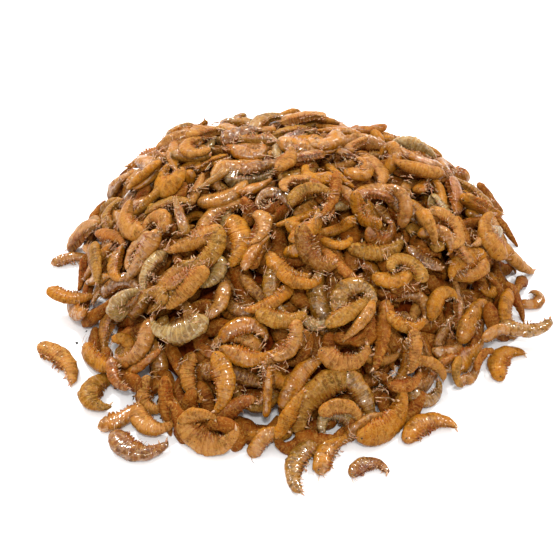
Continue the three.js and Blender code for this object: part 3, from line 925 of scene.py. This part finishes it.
def curled_piece(name, shrimps, finishes):
    """One mesh of shrimps, each a straight form curled and put in its place by the tree."""
    rows = []
    for shrimp in shrimps:
        middle = body_line(shrimp["length"], shrimp["curl"], FINE_STATIONS)[2]
        head = shrimp["middle"] - shrimp["along"] * middle[0] - shrimp["back"] * middle[1]
        head = head + [*MIDDLE_SHIFT, 0]
        row = {**shrimp, "head": head * MM, "length": shrimp["length"] * MM}
        row["lean"], row["tint"], row["toss"] = toss.uniform(*LEAN), toss.uniform(), toss.uniform()
        choices = [key for key in form_of if key.startswith(shrimp["form"])]
        row["form"] = form_of[choices[toss.integers(len(choices))]]
        rows.append(row)
    mesh = bpy.data.meshes.new(name)
    mesh.from_pydata([(0, 0, 0)] * len(rows), [], [])
    for kind, keys in [*POINT_MARKS.items(), ("FLOAT", ["tint", "toss"])]:
        for key in keys:
            layer = mesh.attributes.new(key, kind, "POINT").data
            field = "vector" if kind == "FLOAT_VECTOR" else "value"
            layer.foreach_set(field, np.array([row[key] for row in rows]).ravel())
    holder = bpy.data.objects.new(name, mesh)
    bpy.context.scene.collection.objects.link(holder)
    nodes = holder.modifiers.new("curl", "NODES")
    nodes.node_group = curling
    wanted = {
        "Forms": forms, "Depth per length": DEPTH_PER_LENGTH, "Width per depth": WIDTH_PER_DEPTH,
        "Lowest": GROUND_GAP * MM, "Body finish": finishes[0], "Leg finish": finishes[1],
        "Eye finish": finishes[2],
    }
    for item in curling.interface.items_tree:
        if item.name in wanted:
            nodes[item.identifier] = wanted[item.name]
    graph = bpy.context.evaluated_depsgraph_get()
    result = bpy.data.meshes.new_from_object(
        holder.evaluated_get(graph), preserve_all_data_layers=True, depsgraph=graph
    )
    result.name = name
    bpy.data.objects.remove(holder)
    # The finishes read only the tint, the toss, the phase and the place.
    for key in [*sum(POINT_MARKS.values(), []), "part"]:
        if key in result.attributes:
            result.attributes.remove(result.attributes[key])
    piece = bpy.data.objects.new(name, result)
    bpy.context.scene.collection.objects.link(piece)
    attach(piece, "root")
    return piece


def linear(code):
    """An sRGB hex colour as linear red, green, blue and full alpha."""
    parts = [(code >> shift & 255) / 255 for shift in (16, 8, 0)]
    lin = [part / 12.92 if part <= 0.04045 else ((part + 0.055) / 1.055) ** 2.4 for part in parts]
    return lin + [1]


def per_mm(size):
    """Texture scale for a pattern whose marks are this many millimetres across."""
    return 1 / (size * MM)


# Darker flesh at the belly, with painted shade in the hollow of the curl and between the legs.
BELLY_FLESH_AND_SHADE = 0x741C03
GROOVE_DARK = 0x702204
GRAIN_DARK = 0x6E2E04
GRAIN_PALE = 0xA17426
FLECK_DARK = 0x480C01
THREAD_PALE = 0xA9803C


def cuticle(name, tints, back_glow, patch, blush, gloss, clear):
    """Dried shrimp cuticle: thin horn over pale flesh. It is satin with hard small glints, mottled by
    what dried beneath it, more golden towards the back with a painted glow of light let through, lined
    where its plates overlap, and dark at the belly from darker flesh and painted shade in the hollow
    of the curl."""
    finish = bpy.data.materials.new(name)
    finish.use_nodes = True
    tree = finish.node_tree
    tree.nodes.clear()
    tint, own, phase = [
        add(tree, "ShaderNodeAttribute", attribute_name=key).outputs["Fac"]
        for key in ("tint", "toss", "phase")
    ]
    place = add(tree, "ShaderNodeAttribute", attribute_name="place").outputs["Vector"]
    _, rise, _ = add(tree, "ShaderNodeSeparateXYZ", place).outputs
    # Each shrimp reads its own stretch of the patterns.
    apart = add(tree, "ShaderNodeCombineXYZ", own, tint, own)
    spots = add(tree, "ShaderNodeTexCoord").outputs["Object"]
    spots = add(tree, VECTORS, apart, (0.3, 0.3, 0.3), spots, operation="MULTIPLY_ADD")

    # Noises, from the size of their marks in millimetres, detail, roughness and distortion.
    cloud, mist, grain, wrinkle, thread = [
        add(tree, "ShaderNodeTexNoise", spots, inputs={
            "Scale": per_mm(size), "Detail": detail, "Roughness": roughness, "Distortion": distortion,
        })
        for size, detail, roughness, distortion in (
            (3, 3.0, 0.6, 0.0), (1.6, 2.0, 0.5, 0.6), (0.6, 2.0, 0.6, 0.0), (0.9, 3.0, 0.6, 0.0),
            (2.2, 2.0, 0.5, 1.4),
        )
    ]
    # Threads of pale skin run where the last noise crosses its middle.
    thread = add(tree, MATH, thread, 0.5, operation="SUBTRACT")
    thread = add(tree, MATH, thread, operation="ABSOLUTE")
    # The clearer its skin, the fainter a shrimp's speckle.
    kept_clear = add(tree, "ShaderNodeMapRange", own, 0.4, 0.85, 0.6 * clear * clear, 1)
    fainter = add(tree, MATH, kept_clear, 0.7, operation="MULTIPLY")
    speckle = add(tree, "ShaderNodeMix", inputs={0: fainter, 2: grain, 3: 0.5})
    fleck = add(tree, "ShaderNodeTexVoronoi", spots, inputs={"Scale": per_mm(0.9)}).outputs
    chosen = add(tree, "ShaderNodeSeparateColor", fleck["Color"])
    chosen = add(tree, MATH, chosen, 0.6, operation="LESS_THAN")
    dots = add(tree, MATH, fleck["Distance"], chosen, operation="ADD")

    # How far through its segment a point is, how near a seam, and the finer comb of painted shade
    # between the belly's legs.
    wavy = add(tree, MATH, mist, 0.3, phase, operation="MULTIPLY_ADD")
    through = add(tree, MATH, wavy, operation="FRACT")
    centred = add(tree, MATH, through, 0.5, operation="SUBTRACT")
    seam = add(tree, MATH, centred, operation="ABSOLUTE")
    shaded_comb = add(tree, MATH, wavy, 3.0, operation="MULTIPLY")
    shaded_comb = add(tree, MATH, shaded_comb, 1.0, operation="PINGPONG")
    low = add(tree, "ShaderNodeMapRange", rise, -0.2, -0.8)
    shaded_comb = add(tree, MATH, shaded_comb, low, operation="MULTIPLY")

    ramp = add(tree, "ShaderNodeValToRGB", tint)
    ramp.color_ramp.elements[0].color = linear(tints[0])
    ramp.color_ramp.elements[1].color = linear(tints[-1])
    for index, code in enumerate(tints[1:-1], 1):
        ramp.color_ramp.elements.new(index / (len(tints) - 1)).color = linear(code)
    # Each pattern in turn: where it starts, where it is full, how much it covers then, and its colour.
    colour = ramp
    for pattern, start, full, most, code in (
        # The back edge's colour is a painted glow of light let through the thin back.
        (rise, 0.25, 0.9, 0.6, back_glow), (cloud, 0.45, 0.64, 0.75, patch), (mist, 0.5, 0.66, 0.5, blush),
        # The belly's dark colour is darker flesh with painted shade in the curl's hollow; the comb is
        # painted shade between the legs.
        (through, 0.5, 0.95, 0.38, blush), (rise, -0.7, -2.0, 0.5, BELLY_FLESH_AND_SHADE),
        (shaded_comb, 0.35, 0.85, 0.6, BELLY_FLESH_AND_SHADE), (seam, 0.4, 0.49, 0.36, GROOVE_DARK),
        (speckle, 0.54, 0.66, 0.4, GRAIN_DARK), (speckle, 0.45, 0.34, 0.35, GRAIN_PALE),
        (thread, 0.035, 0.005, 0.45, THREAD_PALE), (dots, 0.24, 0.14, 0.75, FLECK_DARK),
    ):
        share = add(
            tree, "ShaderNodeMapRange", pattern, start, full, 0, most, interpolation_type="SMOOTHSTEP"
        )
        colour = add(
            tree, "ShaderNodeMix", inputs={0: share, 6: colour, 7: linear(code)}, data_type="RGBA"
        )

    groove = add(tree, "ShaderNodeMapRange", seam, 0.25, 0.5, 1, 0, interpolation_type="SMOOTHSTEP")
    ribbed = add(tree, "ShaderNodeBump", inputs={
        "Height": groove, "Strength": 0.5, "Distance": 0.15 * MM,
    })
    bump = add(tree, "ShaderNodeBump", inputs={
        "Height": wrinkle, "Strength": 0.5, "Distance": 0.16 * MM, "Normal": ribbed,
    })
    # Where a clear skin has dried over it, it is glossier and crinkled.
    filmed = add(tree, "ShaderNodeMapRange", mist, 0.46, 0.56)
    skin = add(tree, "ShaderNodeMapRange", filmed, 0, 1, 0.4 * clear, min(1, 2.1 * clear))
    skin = add(tree, MATH, skin, kept_clear, operation="MULTIPLY")
    crinkle = add(tree, MATH, grain, filmed, operation="MULTIPLY")
    film = add(tree, "ShaderNodeBump", inputs={
        "Height": crinkle, "Strength": 0.6, "Distance": 0.07 * MM, "Normal": ribbed,
    })
    rough = add(tree, "ShaderNodeMapRange", cloud, 0.3, 0.7, gloss[0], gloss[1])
    body = add(tree, "ShaderNodeBsdfPrincipled", inputs={
        "Base Color": colour, "Roughness": rough, "Normal": bump, "IOR": 1.5,
        "Specular IOR Level": 0.07, "Subsurface Weight": 0.3, "Subsurface Scale": 1.2 * MM,
        "Subsurface Radius": (1.0, 0.42, 0.16), "Coat Weight": skin, "Coat Roughness": 0.1,
        "Coat IOR": 1.9, "Coat Normal": film,
    })
    add(tree, "ShaderNodeOutputMaterial", body)
    return finish


def plain(name, code, second, size, roughness, coat, sunk=0.0):
    """A finish of two colours in soft patches of one size, for the small and the hidden things."""
    finish = bpy.data.materials.new(name)
    finish.use_nodes = True
    tree = finish.node_tree
    tree.nodes.clear()
    spots = add(tree, "ShaderNodeTexCoord").outputs["Object"]
    cloud = add(tree, "ShaderNodeTexNoise", spots, inputs={"Scale": per_mm(size), "Detail": 3.0})
    share = add(tree, "ShaderNodeMapRange", cloud, 0.4, 0.62)
    colour = add(
        tree, "ShaderNodeMix", inputs={0: share, 6: linear(code), 7: linear(second)}, data_type="RGBA"
    )
    bump = add(tree, "ShaderNodeBump", inputs={"Height": cloud, "Strength": 0.5, "Distance": 0.1 * MM})
    body = add(tree, "ShaderNodeBsdfPrincipled", inputs={
        "Base Color": colour, "Roughness": roughness, "Normal": bump, "Coat Weight": coat,
        "Coat Roughness": 0.15, "Specular IOR Level": 0.1, "Subsurface Weight": sunk,
        "Subsurface Scale": 0.5 * MM,
    })
    add(tree, "ShaderNodeOutputMaterial", body)
    return finish


# The name of each finish, its colours by the shrimp's tint, then its colour for the painted glow of
# light through its back edge, for dark patches and for pale ones, its roughness where least and most,
# and how clear its skin is.
FINISHES = {
    "amber": [
        "amber cuticle", [0x8F5307, 0x975D0D, 0x9D6312, 0x894C07], 0x9D5F04, 0x5E3504, 0xA47029,
        [0.3, 0.5], 0.4,
    ],
    "tan": [
        "tan cuticle", [0x8D591D, 0x935F23, 0x99652A, 0x895525], 0x975D07, 0x5E3709, 0xAA773B,
        [0.32, 0.54], 0.35,
    ],
    "olive": [
        "olive cuticle", [0x7F5312, 0x865917, 0x744A0F, 0x8C5F1D], 0x8F5909, 0x452E05, 0x9B7333,
        [0.3, 0.5], 0.42,
    ],
    "russet": [
        "russet cuticle", [0x7E440D, 0x874C10, 0x76390F, 0x875117], 0x8D4C09, 0x542905, 0x996125,
        [0.36, 0.6], 0.25,
    ],
    "husk": [
        "clear husk", [0x8A6A38, 0x90733E, 0x82602F, 0x8A6A36], 0x8E642A, 0x553A1A, 0xA89668,
        [0.18, 0.4], 0.9,
    ],
    "brown": [
        "brown cuticle", [0x6F4212, 0x784813, 0x69390F, 0x764F1D], 0x7A4607, 0x412204, 0x8F6535,
        [0.26, 0.46], 0.5,
    ],
    # Those inside the heap take a darker, redder, matt copy of the cuticle: painted shade.
    "shaded": [
        "cuticle inside the heap", [0x773F07, 0x6E3706, 0x7D460D, 0x6A3306], 0x7D4306, 0x4D1D02,
        0x885418, [0.5, 0.7], 0.0,
    ],
}
finish_of = {kind: cuticle(*row) for kind, row in FINISHES.items()}
leg_finish = plain("dried legs", 0xC29C78, 0x9C6E4C, 1.5, 0.4, 0.4, 0.3)
eye_finish = plain("dried eyes", 0x1B0501, 0x0E0201, 0.5, 0.22, 0.6)
# The core's dark colours are painted shade of the heap's inside.
core_shade_finish = plain("painted shade inside the heap", 0x7C3404, 0x521601, 0.8, 0.9, 0)


for shrimp in outer + shown + foot_bits + inner + legs + crumbs:
    shrimp["plump"] = toss.uniform(*(PLUMP_SCATTERED if "open" in shrimp else PLUMP_PLACED))
for shrimp in outer + shown + foot_bits:
    shrimp["form"] = "fine" if shrimp.get("open", 1) > FINE_FROM else "plain"
    if shrimp["kind"] == "husk":
        shrimp["form"] = "husk"
    elif shrimp["kind"] == "russet" and (
        toss.random() < SHRUNK_SHARE or shrimp["curl"] < STRAIGHT_CURL
    ):
        shrimp["form"] = "shrunk"
for group, form in ((inner, "rough"), (legs, "legs"), (crumbs, "crumb")):
    for shrimp in group:
        shrimp["form"] = form

small_finishes = [leg_finish, eye_finish]
for kind in KIND_SHARES:
    chosen = [shrimp for shrimp in outer + shown + foot_bits if shrimp["kind"] == kind]
    finishes = [finish_of[kind], *small_finishes]
    piece = curled_piece(f"{kind}_shrimp", chosen, finishes)
    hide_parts("shrimp_heap")
# Every other one of those inside goes to one piece, and the rest to another, all in the darker cuticle
# of painted shade.
for first, kind in enumerate(("amber", "tan")):
    finishes = [finish_of["shaded"], *small_finishes]
    piece = curled_piece(f"inner_{kind}_shrimp", inner[first::2], finishes)
    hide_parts("shrimp_heap")
piece = curled_piece("loose_legs", legs, [leg_finish, *small_finishes])
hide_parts("shrimp_heap")
piece = curled_piece("crumbs", crumbs, [leg_finish, leg_finish, eye_finish])
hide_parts("shrimp_heap")
for name, shrimp in strays.items():
    kind, group = STRAYS[name][6:]
    stray = {**shrimp, "form": "fine", "plump": 1.0}
    piece = curled_piece(name + "_body", [stray], [finish_of[kind], *small_finishes])
    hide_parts(name)


# The core: the inside of the heap, seen only through the gaps, its dark colour painted shade.
CORE_SUNK = 1.0
CORE_INSET = 3
CORE_AROUND = 96
CORE_RINGS = 30
CORE_LEAST = 0.5
CORE_LIFT = 0.2
CORE_TUCK = 0.98
# Its lumps: how high, how wide, and at what level of the noise.
LUMPS = [[1.3, 4, 0], [0.5, 1.6, 5]]


def core_piece():
    """A lumpy dome with a flat foot, made of rings from its rim up to its top."""
    shell = Shell()
    turns = 2 * math.pi * np.arange(CORE_AROUND) / CORE_AROUND
    reach = foot_radius(turns) - BARE_DEPTH - CORE_INSET
    rim = np.stack([reach * np.cos(turns), reach * np.sin(turns), 0 * reach + CORE_LIFT], 1)
    rings = [[[0, 0, CORE_LIFT]], list(rim * [CORE_TUCK, CORE_TUCK, 1])]
    for ring in range(CORE_RINGS):
        share = 1 - ring / CORE_RINGS
        points = []
        for x, y, _ in rim * share:
            lump = sum(high * noise.noise(Vector((x, y, level)) / wide) for high, wide, level in LUMPS)
            height = dome_height(x, y, BARE_DEPTH) - CORE_SUNK + lump
            points.append([x, y, max(CORE_LEAST, height)])
        rings.append(points)
    rings.append([[0, 0, dome_height(0, 0, BARE_DEPTH) - CORE_SUNK]])
    shell.loft(rings, BODY)
    shell.points = list((np.array(shell.points) + [*MIDDLE_SHIFT, 0]) * MM)
    made = shell.object("heap_core", bpy.context.scene.collection)
    made.data.materials.append(core_shade_finish)
    return made


core = core_piece()
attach(core, "root")
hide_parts("shrimp_heap")


FLOOR_REACH = 3.0


def floor_piece():
    mesh = bpy.data.meshes.new("floor")
    corners = [(-1, -1, 0), (1, -1, 0), (1, 1, 0), (-1, 1, 0)]
    mesh.from_pydata([Vector(corner) * FLOOR_REACH for corner in corners], [], [(0, 1, 2, 3)])
    made = bpy.data.objects.new("floor", mesh)
    bpy.context.scene.collection.objects.link(made)
    finish = bpy.data.materials.new("white board")
    finish.use_nodes = True
    surface = finish.node_tree.nodes["Principled BSDF"]
    surface.inputs["Base Color"].default_value = (0.9, 0.9, 0.9, 1)
    surface.inputs["Roughness"].default_value = 0.6
    mesh.materials.append(finish)
    return made


floor_piece()

# A plain white studio.
WORLD_LIGHT = 1.16

world = bpy.data.worlds.new("studio")
world.use_nodes = True
world.node_tree.nodes["Background"].inputs["Color"].default_value = (1, 1, 1, 1)
world.node_tree.nodes["Background"].inputs["Strength"].default_value = WORLD_LIGHT
bpy.context.scene.world = world
bpy.context.scene.view_settings.view_transform = "Standard"

# Round lamps turned to the heap: where they hang, how wide they are in metres, and their watts.
LAMPS = {
    "left lamp": [(-0.3, 0.35, 0.5), 0.08, 3.7],
    "right lamp": [(0.32, 0.3, 0.52), 0.07, 2.2],
    "front lamp": [(0.02, -0.4, 0.62), 0.08, 2.2],
}
for name, (place, width, watts) in LAMPS.items():
    light = bpy.data.lights.new(name, "AREA")
    light.shape = "DISK"
    light.size = width
    light.energy = watts
    made = bpy.data.objects.new(name, light)
    bpy.context.scene.collection.objects.link(made)
    made.location = place
    made.rotation_euler = (-Vector(place)).to_track_quat("-Z", "Y").to_euler()

# The straight forms are no part of the heap.
for made in list(forms.objects):
    bpy.data.objects.remove(made)
bpy.data.collections.remove(forms)
